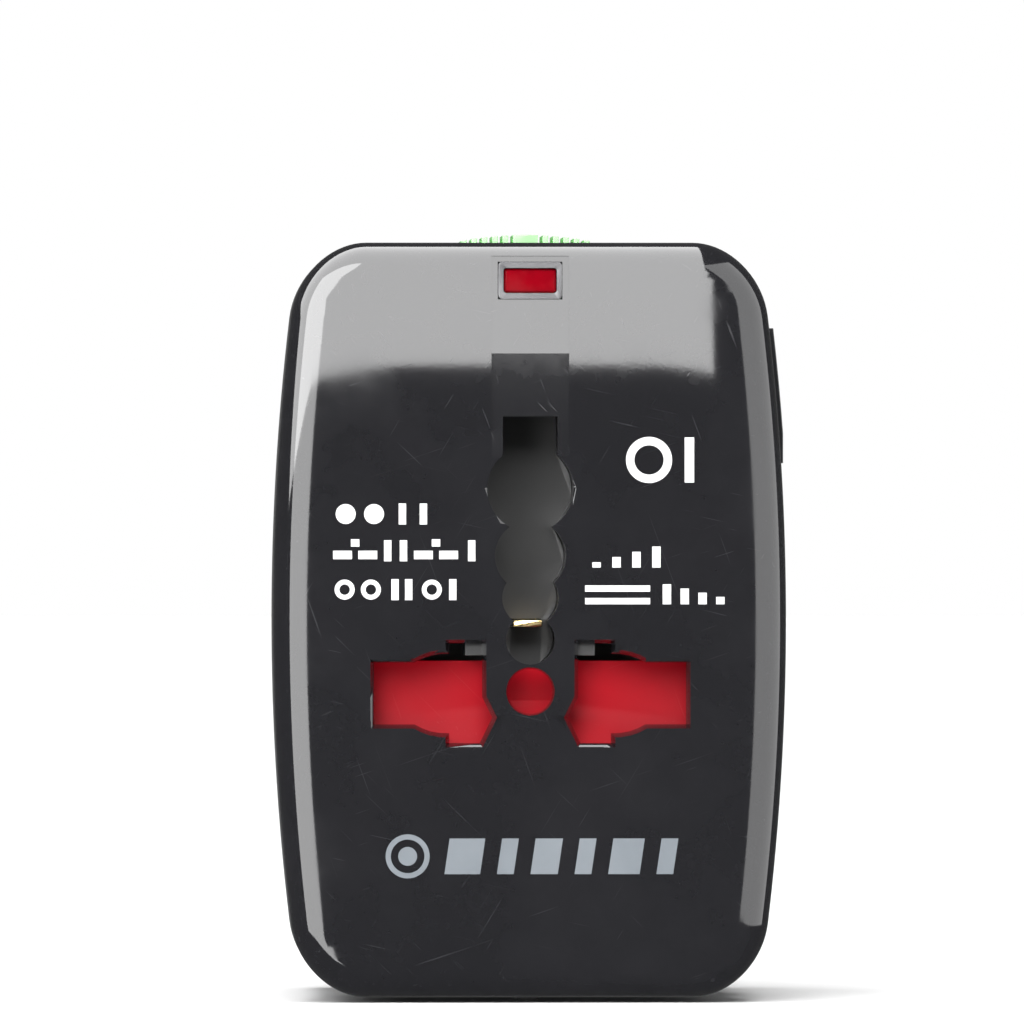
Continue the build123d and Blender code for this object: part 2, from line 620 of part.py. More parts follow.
def flat_pin(size, x, z, root_y, sleeve_l):
    """A rectangular pin, slimmer at its root where a sleeve goes round it."""
    width, height, length = size
    tip_y = root_y + length
    pin = bar(x, z, width, height, root_y + sleeve_l, tip_y, PIN_CORNER)
    pin = chamfer(pin.faces().sort_by(Axis.Y)[-1].edges(), PIN_TIP)
    if sleeve_l:
        cut = 2 * ROOT_CUT
        pin += bar(x, z, width - cut, height - cut, root_y, root_y + sleeve_l, PIN_CORNER - ROOT_ROUND)
    return pin


def uk_parts():
    """The three-pin set: plate, knob, two line pins with sleeves, earth pin and wipers."""
    spec = CARRIAGES["uk"]
    front_y = spec["front_y"]
    rear_y = spec["rear_y"]
    y_span = (front_y, rear_y)
    earth_z = UK_Z + UK_EARTH_RISE
    half_w = UK_PLATE_HALF_W
    column_w, column_rise = UK_COLUMN
    plate = block((-half_w, half_w), y_span, (UK_PLATE_LOW_Z, UK_Z + UK_PLATE_HALF_H))
    plate += block((-column_w, column_w), y_span, (UK_Z, earth_z + column_rise))
    arm_z = (spec["knob_z"] - NECK_H / 2, spec["knob_z"] + NECK_H / 2)
    plate += block((column_w, KNOB_ROOT_X), y_span, arm_z)
    plate += finger(UK_FINGER_Z, front_y)
    root_y = front_y + PIN_FLOOR
    bore = 2 * SLEEVE_T
    extra = rear_y - root_y + WALL + STOP_GAP
    pins = {}
    sleeves = Part()
    for name, side in (("uk_live_pin", 1), ("uk_neutral_pin", -1)):
        x = side * LINE_PITCH / 2
        width, height, length = UK_LINE_PIN
        sleeve_l = UK_SLEEVE_L + extra
        pins[name] = flat_pin((width, height, length + extra), x, UK_Z, root_y, sleeve_l)
        sleeve = bar(x, UK_Z, width, height, root_y, root_y + sleeve_l - FIT, PIN_CORNER)
        corner = PIN_CORNER - ROOT_ROUND
        sleeves += sleeve - bar(x, UK_Z, width - bore, height - bore, root_y, root_y + sleeve_l, corner)
        plate -= bar(x, UK_Z, width + 2 * FIT, height + 2 * FIT, root_y - FIT, rear_y, PIN_CORNER)
    width, height, length = UK_EARTH_PIN
    pins["uk_earth_pin"] = flat_pin((width, height, length + extra), 0, earth_z, root_y, 0)
    plate -= bar(0, earth_z, width + 2 * FIT, height + 2 * FIT, root_y - FIT, rear_y, PIN_CORNER)
    wipers = Part()
    rail_top = UK_RAIL_Z + RAIL_T + WIPER_GAP
    strap_z = (UK_Z - WIPER_HALF_H, UK_Z + WIPER_HALF_H)
    in_x = half_w + FIT
    out_x = in_x + WIPER_T
    for side in (-1, 1):
        wall_x = sorted((side * in_x, side * out_x))
        foot_x = sorted((side * in_x, side * (RAIL_X + RAIL_T)))
        strap_x = sorted((side * LINE_PITCH / 2, side * out_x))
        wipers += block(foot_x, y_span, (rail_top, rail_top + WIPER_T))
        wipers += block(wall_x, (STRAP_Y[0], rear_y), (rail_top, strap_z[1]))
        wipers += block(strap_x, STRAP_Y, strap_z)
    parts = {
        "uk_plate": plate,
        "uk_knob": knob(spec, *UK_KNOB_Z, UK_KNOB_INSET),
        "uk_pin_sleeves": sleeves,
        "uk_wipers": wipers,
    }
    return parts | pins


def us_parts():
    """The two-blade set: plate, knob, wipers, and each blade in a hub that turns in the plate."""
    spec = CARRIAGES["us"]
    front_y = spec["front_y"]
    rear_y = spec["rear_y"]
    y_span = (front_y, rear_y)
    half_w = US_PLATE_HALF_W
    plate = block((-half_w, half_w), y_span, (US_Z - US_PLATE_HALF_H, US_PLATE_HIGH_Z))
    plate += block((half_w, KNOB_ROOT_X), y_span, (US_Z - NECK_H / 2, US_Z + NECK_H / 2))
    plate += finger(US_Z, front_y)
    parts = {}
    wipers = Part()
    thick, wide, _ = US_BLADE
    hole_rise, hole_r = BLADE_HOLE
    tip_y = REAR_Y - TIP_SETBACK
    hub_y = front_y - FIT
    root_y = front_y + BLADE_FLOOR
    wiper_z = (US_PLATE_HIGH_Z + FIT, US_RAIL_Z - WIPER_GAP)
    for name, side in (("right", 1), ("left", -1)):
        x = side * US_PITCH / 2
        plate -= rod(x, US_Z, HUB_R + FIT, front_y, rear_y)
        hub = rod(x, US_Z, HUB_R, hub_y, rear_y)
        hub += rod(x, US_Z, HUB_FLANGE_R, hub_y - HUB_FLANGE_T, hub_y)
        blade = bar(x, US_Z, thick, wide, root_y, tip_y)
        blade = chamfer(blade.faces().sort_by(Axis.Y)[-1].edges(), BLADE_TIP)
        blade -= rod_x(x - thick, x + thick, tip_y - hole_rise, US_Z, hole_r)
        hub -= bar(x, US_Z, thick + 2 * FIT, wide + 2 * FIT, root_y - FIT, rear_y)
        parts["us_" + name + "_blade"] = blade
        parts["us_" + name + "_hub"] = hub
        wipers += block(sorted((side * US_WIPER_X, side * (RAIL_X + RAIL_T))), y_span, wiper_z)
    parts["us_plate"] = plate
    parts["us_knob"] = knob(spec, *US_KNOB_Z, US_KNOB_INSET)
    parts["us_wipers"] = wipers
    return parts


def eu_parts():
    """The two-round-pin set: plate, knob, pins, sleeves and wipers."""
    spec = CARRIAGES["eu"]
    front_y = spec["front_y"]
    rear_y = spec["rear_y"]
    y_span = (front_y, rear_y)
    half_w = EU_PLATE_HALF_W
    plate = block((-half_w, half_w), y_span, (EU_Z - EU_PLATE_HALF_H, EU_PLATE_HIGH_Z))
    plate += block((half_w, KNOB_ROOT_X), y_span, (EU_Z - NECK_H / 2, EU_Z + NECK_H / 2))
    plate += finger(EU_Z, front_y)
    root_y = front_y + PIN_FLOOR
    tip_y = REAR_Y - TIP_SETBACK
    wiper_z = (EU_PLATE_HIGH_Z + FIT, EU_RAIL_Z - WIPER_GAP)
    wiper_in, wiper_out = EU_WIPER_X
    sleeve_end_y = rear_y + WALL + STOP_GAP + EU_SLEEVE_L
    pins = Part()
    sleeves = Part()
    wipers = Part()
    for side in (-1, 1):
        x = side * EU_PITCH / 2
        pin = rod(x, EU_Z, EU_PIN_R, sleeve_end_y + FIT, tip_y)
        pin = fillet(pin.faces().sort_by(Axis.Y)[-1].edges(), EU_TIP_R)
        pins += pin + rod(x, EU_Z, EU_PIN_R - ROOT_CUT, root_y, sleeve_end_y + FIT)
        sleeve = rod(x, EU_Z, EU_PIN_R, root_y, sleeve_end_y)
        sleeves += sleeve - rod(x, EU_Z, EU_PIN_R - SLEEVE_T, root_y, sleeve_end_y)
        plate -= rod(x, EU_Z, EU_PIN_R + FIT, root_y - FIT, rear_y)
        strap_x = sorted((side * wiper_in, side * wiper_out))
        strap_front = front_y - FIT - WIPER_T
        wipers += block(sorted((side * wiper_in, side * (RAIL_X + RAIL_T))), y_span, wiper_z)
        wipers += block(strap_x, (strap_front, front_y - FIT), (EU_Z, wiper_z[1]))
        wipers += block(strap_x, (strap_front, front_y), wiper_z)
    return {
        "eu_plate": plate,
        "eu_knob": knob(spec, *EU_KNOB_Z, EU_KNOB_INSET),
        "eu_pins": pins,
        "eu_pin_sleeves": sleeves,
        "eu_wipers": wipers,
    }


# ---------------------------------------------------------------- release button and lock bar
def release_button():
    """The pale green button: a crowned cap with a plateau, ribs along its depth and a flange."""
    top_z = TOP_Z + BUTTON_RISE
    profile = Pos(0, (CAP_LOW_Z + top_z) / 2) * Rectangle(BUTTON_W, top_z - CAP_LOW_Z)
    profile &= Pos(0, top_z - BUTTON_CROWN_R) * Circle(BUTTON_CROWN_R)
    groove_h = 2 * BUTTON_RISE
    for step in range(BUTTON_RIBS):
        for side in (-1, 1):
            x = side * (BUTTON_PLATEAU + BUTTON_GROOVE_W / 2 + RIB_PITCH * step)
            groove_z = TOP_Z - CLEAR - x ** 2 / (2 * BUTTON_CROWN_R)
            profile -= Pos(x, groove_z + groove_h / 2) * Rectangle(BUTTON_GROOVE_W, groove_h)
    cap = slab(profile, *BUTTON_Y)
    flange_x = BUTTON_W / 2 + FLANGE_OUT
    flange_y = (BUTTON_Y[0] - FLANGE_OUT, BUTTON_Y[1] + FLANGE_OUT)
    return cap + block((-flange_x, flange_x), flange_y, (BAR_TOP_Z, CAP_LOW_Z))


def lock_bar():
    """The flat strip under the button, with one window for each plug set's latch finger."""
    strip = block((-BAR_HALF_W, BAR_HALF_W), BAR_Y, (BAR_BOTTOM_Z, BAR_TOP_Z))
    window_x = (-FINGER_W / 2 - GAP, FINGER_W / 2 + GAP)
    for z in (EU_Z, US_Z, UK_FINGER_Z):
        window_z = (z - FINGER_H / 2 - GAP, z + FINGER_H / 2 + BUTTON_TRAVEL + GAP)
        strip -= block(window_x, BAR_Y, window_z)
    return strip


# ---------------------------------------------------------------- fuse
def fuse_drawer():
    """The trough that carries the fuse, with a finger groove in its outer face."""
    half = DRAWER_SIZE / 2
    tray = block((FUSE_X - half, FUSE_X + half), DRAWER_Y, (FUSE_Z - half, FUSE_Z + half))
    pocket_y = (DRAWER_Y[0] + DRAWER_WALL, FUSE_Y + FUSE_L + 0.2)
    radius = FUSE_R + CLEAR
    tray -= rod(FUSE_X, FUSE_Z, radius, *pocket_y)
    mouth_y = (DRAWER_Y[0], pocket_y[1])
    tray -= block((FUSE_X - radius, FUSE_X + radius), mouth_y, (FUSE_Z, FUSE_Z + half))
    groove_x, groove_y, groove_z = DRAWER_GROOVE
    groove_span = (FUSE_X - groove_x, FUSE_X + groove_x)
    return tray - block(groove_span, (REAR_Y - groove_y, REAR_Y), (FUSE_Z - groove_z, FUSE_Z + groove_z))


def fuse_tube():
    """The ceramic barrel of the fuse."""
    end = FUSE_CAP_T + FIT
    return rod(FUSE_X, FUSE_Z, FUSE_R - 0.35, FUSE_Y + end, FUSE_Y + FUSE_L - end)


def fuse_caps():
    """The fuse's two metal end caps."""
    rear_cap = FUSE_Y + FUSE_L - FUSE_CAP_L
    bores = {
        FUSE_Y: (FUSE_Y + FUSE_CAP_T, FUSE_Y + FUSE_CAP_L),
        rear_cap: (rear_cap, rear_cap + FUSE_CAP_L - FUSE_CAP_T),
    }
    caps = Part()
    for cap_y, bore_y in bores.items():
        cap = rod(FUSE_X, FUSE_Z, FUSE_R, cap_y, cap_y + FUSE_CAP_L)
        caps += cap - rod(FUSE_X, FUSE_Z, FUSE_R - 0.3, *bore_y)
    return caps


def fuse_clips():
    """Two brass leaves that bear on the caps from above, each on its strap to the side wall."""
    clips = Part()
    strap_z = FUSE_Z + DRAWER_SIZE / 2 + 0.9
    leaf_x = (FUSE_X - CLIP_W / 2, FUSE_X + CLIP_W / 2)
    wall_x = half_width(strap_z + CONTACT_T, HOUSING_STEP + WALL) - GAP
    for clip_y in (FUSE_Y + 1.0, FUSE_Y + FUSE_L - 4.0):
        y_span = (clip_y, clip_y + CLIP_L)
        clips += block(leaf_x, y_span, (FUSE_Z + FUSE_R + 0.2, strap_z))
        clips += block((-wall_x, leaf_x[1]), y_span, (strap_z, strap_z + CONTACT_T))
    return clips


# ---------------------------------------------------------------- springs and fasteners
def shutter_spring():
    """The spring that lifts the shutter again."""
    low = BASE_BOTTOM_Z + LEDGE_T + FIT
    return coil(0, SHUTTER_Y + 0.5, low, SHUTTER_LOW_Z - FIT, *SHUTTER_COIL)


def lock_spring():
    """The spring that lifts the lock bar and its button."""
    y = sum(BAR_Y) / 2
    return coil(0, y, FLOOR_Z + FIT, BAR_BOTTOM_Z - FIT, *LOCK_COIL)


def case_screws():
    """Four pan-head screws, driven from the rear into the front cover's bosses."""
    screws = Part()
    long, thin, deep = SCREW_SLOT
    for x, z in screw_places():
        screw = rod(x, z, SCREW_R, SCREW_SEAT_Y - SCREW_L, SCREW_SEAT_Y + FIT)
        head = rod(x, z, SCREW_HEAD_R, SCREW_SEAT_Y, SCREW_SEAT_Y + SCREW_HEAD_T)
        head = fillet(head.faces().sort_by(Axis.Y)[-1].edges(), SCREW_HEAD_EDGE)
        cross_y = (SCREW_SEAT_Y + SCREW_HEAD_T - deep, SCREW_SEAT_Y + SCREW_HEAD_T)
        head -= block((x - long, x + long), cross_y, (z - thin, z + thin))
        head -= block((x - thin, x + thin), cross_y, (z - long, z + long))
        screws += screw + head
    return screws


def all_parts():
    """Every node's name and its shape."""
    parts = {
        "front_cover": front_cover(),
        "rear_housing": rear_housing(),
        "socket_base": socket_base(),
        "live_contact": line_contact(1),
        "neutral_contact": line_contact(-1),
        "earth_contact": earth_contact(),
        "live_bus_bar": bus_bar(1),
        "neutral_bus_bar": bus_bar(-1),
        "shutter": shutter(),
        "shutter_spring": shutter_spring(),
        "light_bezel": light_bezel(),
        "light_lens": light_lens(),
        "indicator_lamp": indicator_lamp(),
        "surge_board": surge_board(),
        "varistor": varistor(),
        "lamp_resistor": lamp_resistor(),
        "release_button": release_button(),
        "lock_bar": lock_bar(),
        "lock_spring": lock_spring(),
        "fuse_drawer": fuse_drawer(),
        "fuse_tube": fuse_tube(),
        "fuse_caps": fuse_caps(),
        "fuse_clips": fuse_clips(),
        "case_screws": case_screws(),
    }
    return parts | uk_parts() | us_parts() | eu_parts()


os.makedirs("parts", exist_ok=True)
for node, shape in all_parts().items():
    export_step(shape, f"parts/{node}.step")
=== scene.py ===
import json
from math import atan2, cos, pi, radians, sin, sqrt

import bpy
from mathutils import Euler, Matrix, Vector


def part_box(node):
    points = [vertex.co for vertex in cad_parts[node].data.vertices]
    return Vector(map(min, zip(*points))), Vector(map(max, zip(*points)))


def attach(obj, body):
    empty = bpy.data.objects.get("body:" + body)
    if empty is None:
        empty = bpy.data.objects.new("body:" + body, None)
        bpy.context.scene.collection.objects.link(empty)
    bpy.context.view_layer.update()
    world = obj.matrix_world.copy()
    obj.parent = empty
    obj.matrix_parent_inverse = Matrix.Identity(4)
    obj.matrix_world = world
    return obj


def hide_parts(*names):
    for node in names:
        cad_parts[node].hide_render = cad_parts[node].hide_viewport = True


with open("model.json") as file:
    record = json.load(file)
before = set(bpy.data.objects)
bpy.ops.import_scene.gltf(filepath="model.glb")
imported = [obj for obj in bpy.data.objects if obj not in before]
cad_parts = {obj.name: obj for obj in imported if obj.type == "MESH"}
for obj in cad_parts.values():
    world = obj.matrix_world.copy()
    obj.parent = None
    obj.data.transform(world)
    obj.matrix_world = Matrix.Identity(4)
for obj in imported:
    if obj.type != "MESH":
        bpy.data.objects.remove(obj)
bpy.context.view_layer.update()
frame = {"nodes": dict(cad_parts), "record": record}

MM = 0.001
nodes = frame["nodes"]

# ------------------------------------------------------------ sizes from the frame
cover_low, cover_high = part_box("front_cover")
bezel_low, bezel_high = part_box("light_bezel")
shutter_low, shutter_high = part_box("shutter")
button_low, button_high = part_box("release_button")
record_mounts = {m["name"]: m for m in frame["record"]["mounts"]}

FACE_Y = cover_low.y
SEAM_Y = cover_high.y
WIDTH = cover_high.x - cover_low.x
TOP_Z = cover_high.z
HEIGHT = 72.0 * MM
BOTTOM_Z = TOP_Z - HEIGHT
MID_Z = (TOP_Z + BOTTOM_Z) / 2
LINE_Z = record_mounts["socket_apertures"]["pos_m"][2]
HOLE_Z = record_mounts["centre_hole"]["pos_m"][2]
HOLE_R = record_mounts["centre_hole"]["dims"]["r_mm"] * MM
WALL = 2.0 * MM
SIDE_R = 245.0 * MM
CORNER_R = 7.0 * MM
EDGE_R = 2.7 * MM
PRINT_T = 0.02 * MM
CUT_EASE = 0.15 * MM
CUT_LIP = 1.2 * MM
BEZEL_GAP = 0.05 * MM
CHANNEL_HALF_W = 3.7 * MM
CHANNEL_LOW_Z = TOP_Z - 20.5 * MM
CHANNEL_KNEE_Z = TOP_Z - 10.6 * MM
CHANNEL_HIGH_Z = bezel_high.z + 0.6 * MM
CHANNEL_DEPTHS = (0.092 * MM, 0.642 * MM, 1.78 * MM)
FLAT_MARGIN = 0.1 * MM
SAME_POINT = 0.01

# how the face falls back: towards the top, the foot and the sides
CROWN_TOP = (46.0 * MM, 250.0 * MM)
CROWN_FOOT = (12.0 * MM, 160.0 * MM)
CROWN_SIDE = (13.0 * MM, 110.0 * MM)


# ------------------------------------------------------------ modelling helpers
def only(piece):
    """Leaves one piece selected and active."""
    bpy.ops.object.select_all(action="DESELECT")
    piece.select_set(True)
    bpy.context.view_layer.objects.active = piece


def edit(piece, mode="EDGE"):
    """Opens a piece in edit mode with nothing selected."""
    only(piece)
    bpy.ops.object.mode_set(mode="EDIT")
    bpy.ops.mesh.select_mode(type=mode)
    bpy.ops.mesh.select_all(action="DESELECT")
    bpy.ops.object.mode_set(mode="OBJECT")


def pick(piece, kind, test):
    """Selects the edges or faces that pass a test, and opens edit mode on them."""
    edit(piece, "EDGE" if kind == "edges" else "FACE")
    mesh = piece.data
    for part in getattr(mesh, kind):
        points = [mesh.vertices[i].co for i in part.vertices]
        part.select = test(points, part.normal if kind == "polygons" else None)
    bpy.ops.object.mode_set(mode="EDIT")


def done():
    """Leaves edit mode."""
    bpy.ops.object.mode_set(mode="OBJECT")


def settle(piece, name):
    """Names a piece and moves its place into its mesh."""
    only(piece)
    bpy.ops.object.transform_apply(location=True, rotation=True, scale=True)
    piece.name = name
    piece.data.name = name
    return piece


def cube(name, low, high):
    """A box between two corners, to be shaped further."""
    low = Vector(low)
    high = Vector(high)
    bpy.ops.object.select_all(action="DESELECT")
    bpy.ops.mesh.primitive_cube_add(size=1.0, location=(low + high) / 2)
    piece = bpy.context.object
    piece.dimensions = high - low
    return settle(piece, name)


def prism(name, outline, y_front, y_rear):
    """A flat outline of (x, z) points, drawn out along Y."""
    bpy.ops.object.select_all(action="DESELECT")
    bpy.ops.mesh.primitive_circle_add(vertices=len(outline), radius=1.0, fill_type="NGON")
    piece = bpy.context.object
    for vertex, (x, z) in zip(piece.data.vertices, outline):
        vertex.co = (x, y_front, z)
    edit(piece, "FACE")
    bpy.ops.object.mode_set(mode="EDIT")
    bpy.ops.mesh.select_all(action="SELECT")
    bpy.ops.mesh.extrude_region_move(TRANSFORM_OT_translate={"value": (0, y_rear - y_front, 0)})
    bpy.ops.mesh.select_all(action="SELECT")
    bpy.ops.mesh.normals_make_consistent(inside=False)
    done()
    return settle(piece, name)


def grow(outline, width):
    """An outline moved outwards by a width all round."""
    count = len(outline)
    turns = zip(outline[-1:] + outline[:-1], outline)
    area = sum(before[0] * point[1] - point[0] * before[1] for before, point in turns)
    side = 1 if area > 0 else -1
    grown = []
    for i, (x, z) in enumerate(outline):
        before = outline[i - 1]
        after = outline[(i + 1) % count]
        first = Vector((z - before[1], before[0] - x)).normalized() * side
        second = Vector((after[1] - z, x - after[0])).normalized() * side
        middle = (first + second).normalized()
        step = middle * width / max(0.4, middle.dot(first))
        grown.append((x + step.x, z + step.y))
    return grown


def flare(outline, wide, y_front, y_rear):
    """A cutter that narrows from a grown outline in front to the outline itself at the rear."""
    piece = prism("flare", outline, y_front, y_rear)
    front = [v for v in piece.data.vertices if v.co.y < (y_front + y_rear) / 2]
    for vertex, (x, z) in zip(front, grow(outline, wide)):
        vertex.co.x = x
        vertex.co.z = z
    return piece


def add_modifier(piece, kind, **values):
    """Adds a modifier with its settings."""
    modifier = piece.modifiers.new(kind.title(), kind)
    for key, value in values.items():
        setattr(modifier, key, value)
    return modifier


def apply_all(piece):
    """Applies every modifier in order."""
    only(piece)
    for modifier in list(piece.modifiers):
        bpy.ops.object.modifier_apply(modifier=modifier.name)


def combine(piece, tool, operation):
    """Cuts or joins one piece with another, which is then removed."""
    add_modifier(piece, "BOOLEAN", operation=operation, object=tool, solver="EXACT")
    apply_all(piece)
    bpy.data.objects.remove(tool)


def smooth(piece, angle=30.0):
    """Shades a piece smooth, apart from its sharp edges."""
    only(piece)
    bpy.ops.object.shade_smooth_by_angle(angle=radians(angle))


def arc(centre, radius, start, end, steps):
    """Points round an arc in X and Z, with both ends."""
    turns = [radians(start + (end - start) * i / steps) for i in range(steps + 1)]
    return [(centre[0] + radius * cos(t), centre[1] + radius * sin(t)) for t in turns]


# ------------------------------------------------------------ the front cover
def half_width(z):
    """Half the cover's width at a height."""
    rise = min(abs(z - MID_Z), HEIGHT / 2)
    return WIDTH / 2 - (SIDE_R - sqrt(SIDE_R ** 2 - rise ** 2))


def crown(x, z):
    """How far the face has fallen back at a place, with room for the print in front of it."""
    start, radius = CROWN_TOP
    back = PRINT_T + max(0.0, z - start) ** 2 / (2 * radius)
    start, radius = CROWN_FOOT
    back += max(0.0, start - z) ** 2 / (2 * radius)
    start, radius = CROWN_SIDE
    return back + max(0.0, abs(x) - start) ** 2 / (2 * radius)


def cover_blank():
    """The cover before its openings: rounded, bowed, crowned and hollow."""
    half = WIDTH / 2
    piece = cube("cover_shell", (-half, FACE_Y, BOTTOM_Z), (half, SEAM_Y, TOP_Z))
    pick(piece, "edges", lambda p, _: abs(p[0].y - p[1].y) > MM)
    bpy.ops.mesh.bevel(offset=CORNER_R, segments=18, affect="EDGES")
    done()
    pick(piece, "edges", lambda p, _: all(v.y < FACE_Y + MM for v in p))
    bpy.ops.mesh.bevel(offset=EDGE_R, segments=14, affect="EDGES", profile=0.5)
    done()
    pick(piece, "polygons", lambda p, n: n.y > 0.9)
    bpy.ops.mesh.delete(type="FACE")
    bpy.ops.mesh.select_all(action="SELECT")
    for i in range(1, 40):
        place = (0, 0, BOTTOM_Z + HEIGHT * i / 40)
        bpy.ops.mesh.select_all(action="SELECT")
        bpy.ops.mesh.bisect(plane_co=place, plane_no=(0, 0, 1))
    for i in range(1, 28):
        place = (-half + WIDTH * i / 28, 0, 0)
        bpy.ops.mesh.select_all(action="SELECT")
        bpy.ops.mesh.bisect(plane_co=place, plane_no=(1, 0, 0))
    done()
    depth = SEAM_Y - FACE_Y
    for vertex in piece.data.vertices:
        x, y, z = vertex.co
        share = 1 - (y - FACE_Y) / depth
        vertex.co.y = y + crown(x, z) * share
        vertex.co.x = x * half_width(z) / half
    add_modifier(piece, "SOLIDIFY", thickness=WALL, offset=-1.0, use_even_offset=True)
    apply_all(piece)
    return piece


def line_outline(side):
    """One line aperture's outline, clockwise from its outer end."""
    arm = 2.95
    shoulder = [(11.0, arm), (10.3, 3.32), (9.46, 3.62), (8.6, 3.77), (7.71, 3.8)]
    points = [(14.87, arm)] + shoulder + [(7.71, 4.74), (4.58, 4.74), (4.58, -0.33), (3.61, -2.3)]
    points += [(4.8, -4.74), (7.71, -4.74)] + [(x, -z) for x, z in reversed(shoulder)] + [(14.87, -arm)]
    return [(side * x * MM, LINE_Z + z * MM) for x, z in points]


def earth_outline():
    """The earth aperture's right half: a slot and four circles, then the same mirrored."""
    circles = ((19.5, 4.13), (13.1, 3.40), (9.1, 2.69), (5.1, 2.35))
    slot = 2.62
    top_z, top_r = circles[0]
    points = [(slot, 26.39)]
    start = 90 - degrees_of(slot, top_r)
    for i, (z, r) in enumerate(circles):
        if i + 1 < len(circles):
            next_z, next_r = circles[i + 1]
            gap = z - next_z
            meet = (gap ** 2 + r ** 2 - next_r ** 2) / (2 * gap)
            end = -90 + degrees_from_cos(meet / r)
        else:
            end = -90
        points += arc((0, z), r, start, end, 18)
        if i + 1 < len(circles):
            start = 90 - degrees_from_cos((gap - meet) / next_r)
    pairs = zip(points[1:], points)
    points = points[:1] + [p for p, q in pairs if abs(p[0] - q[0]) + abs(p[1] - q[1]) > SAME_POINT]
    left = [(-x, z) for x, z in reversed(points[:-1])]
    return [(x * MM, LINE_Z + z * MM) for x, z in points + left]


def degrees_of(opposite, long_side):
    """The angle whose sine is opposite over long side."""
    return atan2(opposite, sqrt(long_side ** 2 - opposite ** 2)) * 180 / pi


def degrees_from_cos(value):
    """The angle whose cosine is the value."""
    return atan2(sqrt(1 - value ** 2), value) * 180 / pi


def light_channel():
    """The cutter for the shallow channel round and below the light."""
    front_y = FACE_Y - MM
    low, knee, high = (FACE_Y + depth for depth in CHANNEL_DEPTHS)
    side = [
        (front_y, CHANNEL_LOW_Z), (low, CHANNEL_LOW_Z), (knee, CHANNEL_KNEE_Z),
        (high, CHANNEL_HIGH_Z), (front_y, CHANNEL_HIGH_Z)]
    piece = prism("channel_cutter", side, -CHANNEL_HALF_W, CHANNEL_HALF_W)
    for vertex in piece.data.vertices:
        vertex.co = (vertex.co.y, vertex.co.x, vertex.co.z)
    edit(piece, "FACE")
    bpy.ops.object.mode_set(mode="EDIT")
    bpy.ops.mesh.select_all(action="SELECT")
    bpy.ops.mesh.normals_make_consistent(inside=False)
    done()
    return piece


def front_cover():
    """The gloss cover with its openings cut and every cut edge eased."""
    piece = cover_blank()
    back = FACE_Y + 4.0 * MM
    hole = arc((0, HOLE_Z), HOLE_R, 0, 357.5, 95)
    openings = [(line_outline(-1), 0.72), (line_outline(1), 0.72), (earth_outline(), 0.5), (hole, 0.3)]
    cutters = []
    for opening, lip in openings:
        cutters.append(prism("cutter", opening, FACE_Y - MM, back))
        cutters.append(flare(opening, lip * MM, FACE_Y - MM, FACE_Y + CUT_LIP))
    cutters.append(light_channel())
    for cutter in cutters:
        combine(piece, cutter, "DIFFERENCE")
    lug = cube("lug", (-1.15 * MM, SEAM_Y - 2.5 * MM, 0.0), (1.15 * MM, SEAM_Y - 0.1 * MM, 1.6 * MM))
    pick(lug, "edges", lambda p, _: all(v.z < MM for v in p))
    bpy.ops.mesh.bevel(offset=0.22 * MM, segments=2, affect="EDGES")
    done()
    combine(piece, lug, "UNION")
    add_modifier(piece, "BEVEL", width=CUT_EASE, segments=3, limit_method="ANGLE",
                 angle_limit=radians(40), miter_outer="MITER_ARC", harden_normals=False)
    apply_all(piece)
    gap = BEZEL_GAP
    hole = cube("cutter", (bezel_low.x - gap, FACE_Y - MM, bezel_low.z - gap),
                (bezel_high.x + gap, back, bezel_high.z + gap))
    combine(piece, hole, "DIFFERENCE")
    smooth(piece, 34)
    for polygon in piece.data.polygons:
        x, y, z = polygon.center
        across = abs(x) < CHANNEL_HALF_W - FLAT_MARGIN
        along = CHANNEL_LOW_Z + FLAT_MARGIN < z < CHANNEL_HIGH_Z - FLAT_MARGIN
        sunk = y > FACE_Y + crown(x, z) + FLAT_MARGIN / 10
        if across and along and sunk and polygon.normal.y < -0.9:
            polygon.use_smooth = False
    return piece


# ------------------------------------------------------------ printed marks
def box_outline(low_x, high_x, low_z, high_z, slant=0.0):
    """A four-sided outline in millimetres, with its top moved sideways by the slant."""
    points = [(low_x, low_z), (high_x, low_z), (high_x + slant, high_z), (low_x + slant, high_z)]
    return [(x * MM, z * MM) for x, z in points]


def printed(name, outlines, rings):
    """Flat shapes and rings laid on the face as one thin print."""
    top = -PRINT_T
    deep = 2 * PRINT_T
    pieces = [prism(name, outline, FACE_Y + top, FACE_Y + deep) for outline in outlines]
    for x, z, outer, inner in rings:
        ring = prism(name, arc((x * MM, z * MM), outer * MM, 0, 352.5, 47), FACE_Y + top, FACE_Y + deep)
        if inner:
            inside = arc((x * MM, z * MM), inner * MM, 0, 352.5, 47)
            combine(ring, prism("cutter", inside, FACE_Y - MM, FACE_Y + MM), "DIFFERENCE")
        pieces.append(ring)
    bpy.ops.object.select_all(action="DESELECT")
    for piece in pieces:
        piece.select_set(True)
    bpy.context.view_layer.objects.active = pieces[0]
    bpy.ops.object.join()
    piece = settle(bpy.context.object, name)
    for vertex in piece.data.vertices:
        vertex.co.y += crown(vertex.co.x, vertex.co.z)
    return piece


